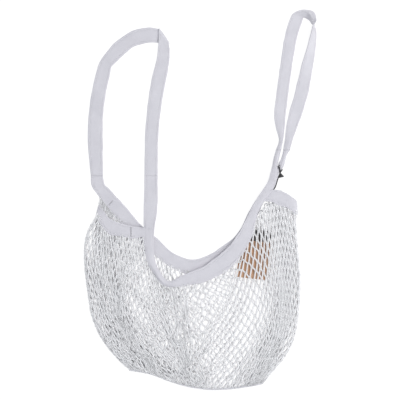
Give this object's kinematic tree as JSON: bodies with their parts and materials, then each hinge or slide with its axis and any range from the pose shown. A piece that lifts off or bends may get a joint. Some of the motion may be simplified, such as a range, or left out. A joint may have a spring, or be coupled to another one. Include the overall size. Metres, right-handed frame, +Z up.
{
  "type": "mesh produce bag",
  "caption": "Knitted cotton mesh bag lying flat, with a tape-bound mouth, long tape handle loops and a card hang tag on a string.",
  "frame": {"origin": "centre of the bag's footprint on the table, at the table surface, handles spread out", "axes": "+Z up from the table, +Y from the bottom seam towards the handles, +X towards the narrower handle with the hang tag"},
  "size_m": [0.3721, 0.612, 0.0204],
  "materials": {
    "net_yarn": "twisted white cotton yarn, knotted into a diamond net, matt and slightly fuzzy",
    "cotton_tape": "bleached cotton twill tape, folded double and stitched, matt",
    "cotton_thread": "white cotton sewing thread, overlocked and bar tacked",
    "tag_string": "black waxed string",
    "seal_plastic": "moulded black plastic, satin",
    "kraft_card": "uncoated brown kraft card with a plain dark band and no text"
  },
  "bodies": {
    "bag": {"net_back": "net_yarn", "net_front": "net_yarn", "bottom_seam": "cotton_thread", "rim_back": "cotton_tape", "rim_front": "cotton_tape", "band_left": "cotton_tape", "band_right": "cotton_tape", "bar_tack_left_back": "cotton_thread", "bar_tack_left_front": "cotton_thread", "bar_tack_right_front": "cotton_thread", "bar_tack_right_back": "cotton_thread", "band_join": "cotton_thread"},
    "left_handle": {"handle_left": "cotton_tape"},
    "right_handle": {"handle_right": "cotton_tape"},
    "hang_tag_set": {"hang_tag": "kraft_card", "cord_tie": "tag_string", "tag_cord": "tag_string", "cord_seal": "seal_plastic"}
  },
  "joints": [
    {"name": "left_handle_fold", "type": "hinge", "parent": "bag", "child": "left_handle", "pos_m": [-0.122, 0.038, 0.0022], "axis": [1, 0, 0], "range_deg": [0, 150]},
    {"name": "right_handle_fold", "type": "hinge", "parent": "bag", "child": "right_handle", "pos_m": [0.132, 0.079, 0.0022], "axis": [1, 0, 0], "range_deg": [0, 150]},
    {"name": "tag_swing", "type": "hinge", "parent": "bag", "child": "hang_tag_set", "pos_m": [0.128, 0.047, 0.004], "axis": [0, 0, 1], "range_deg": [0, 8]}
  ]
}
